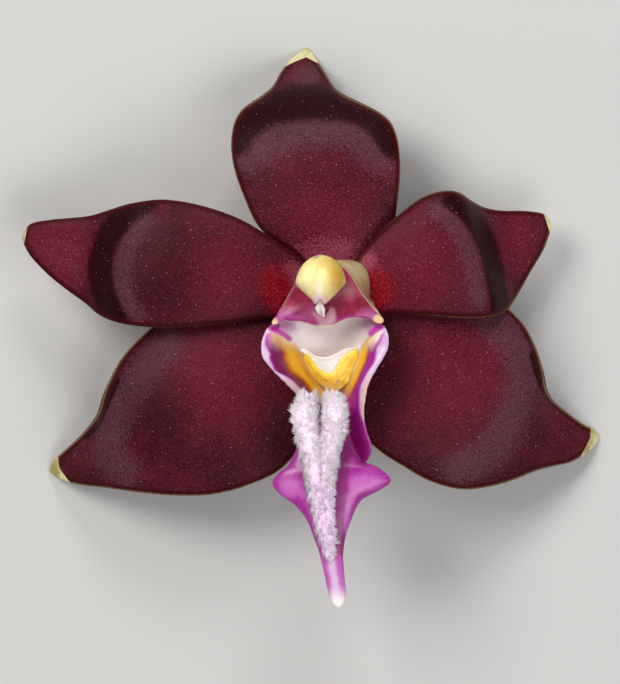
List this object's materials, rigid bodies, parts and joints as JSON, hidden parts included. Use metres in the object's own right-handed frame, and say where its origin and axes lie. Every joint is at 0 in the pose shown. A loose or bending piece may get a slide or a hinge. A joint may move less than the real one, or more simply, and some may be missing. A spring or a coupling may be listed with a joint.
{
  "type": "vandaceous orchid flower",
  "caption": "Open orchid flower with fleshy maroon tepals, a short column and a magenta lip with a hairy keel, as picked and laid face up.",
  "frame": {"origin": "on the surface the flower lies on, under the middle of its outline", "axes": "+Z out of the flower's face, which is upward as it lies; +Y towards the dorsal sepal; +X across the petals, to the right as the flower faces the viewer"},
  "size_m": [0.0502, 0.0488, 0.0184],
  "materials": {
    "tepal": "fleshy living tissue, velvety dark maroon",
    "ovary": "fleshy living tissue, waxy pale green",
    "column": "moist, slightly translucent rose-magenta tissue",
    "pollinia": "waxy, pale",
    "anther_cap": "smooth creamy yellow tissue",
    "lip": "fleshy magenta tissue, white and yellow in the throat",
    "callus": "moist yellow tissue",
    "hairs": "soft white hairs"
  },
  "bodies": {
    "root": {"dorsal_sepal": "tepal", "petal_left": "tepal", "petal_right": "tepal", "lateral_sepal_left": "tepal", "lateral_sepal_right": "tepal", "ovary_pedicel": "ovary", "column": "column", "pollinarium": "pollinia", "anther_cap": "anther_cap", "lip": "lip", "throat_callus": "callus", "lip_brush": "hairs"}
  },
  "joints": []
}
